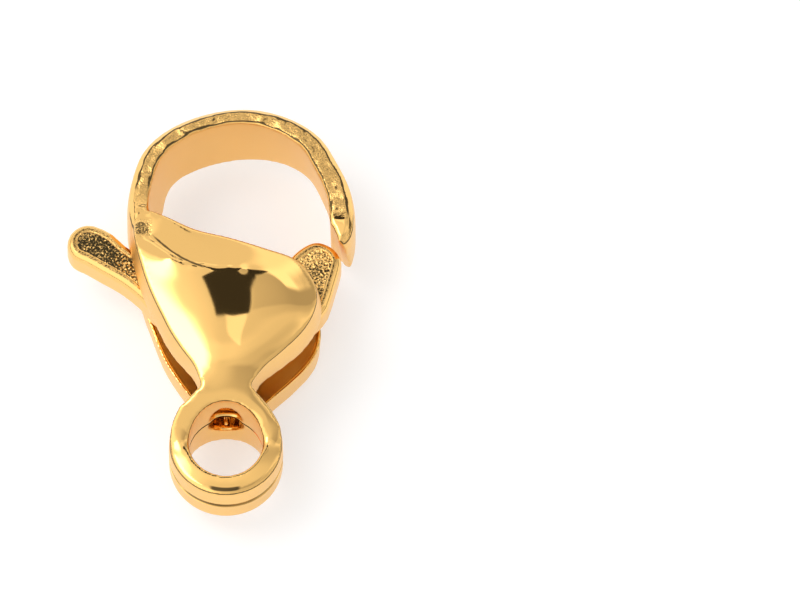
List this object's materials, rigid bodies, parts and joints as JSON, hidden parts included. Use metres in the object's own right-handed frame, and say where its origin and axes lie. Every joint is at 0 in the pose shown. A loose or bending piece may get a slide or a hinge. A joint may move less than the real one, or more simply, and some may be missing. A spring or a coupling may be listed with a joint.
{
  "type": "lobster clasp",
  "caption": "Small lobster-claw jewellery clasp: domed twin shells with a tail ring, a curved hook, and a sprung lever whose thumb tab opens the gate.",
  "frame": {"origin": "centre of the tail ring's bore, midway between the front and back faces", "axes": "+Y from the tail ring to the hook, +X from the thumb tab to the gate, +Z out of the front face, away from the surface that the clasp lies on"},
  "size_m": [0.0103, 0.0151, 0.0045],
  "materials": {
    "cast_gold": "mirror-polished gold plating over cast steel, satin inside the hook",
    "lever_gold": "gold plating over cast steel, pebbled front face and polished rim",
    "pin_steel": "gold-plated steel pin",
    "spring_steel": "gold-plated spring wire"
  },
  "bodies": {
    "casting": {"body": "cast_gold", "pivot_pin": "pin_steel", "spring": "spring_steel"},
    "lever": {"lever": "lever_gold"}
  },
  "joints": [
    {"name": "lever_pivot", "type": "hinge", "parent": "casting", "child": "lever", "pos_m": [0.0003, 0.0037, 0], "axis": [0, 0, 1], "range_deg": [0, 26], "stiffness_Nm_per_rad": 0.0002, "springref_deg": -11.46, "deforming": ["spring"]}
  ]
}
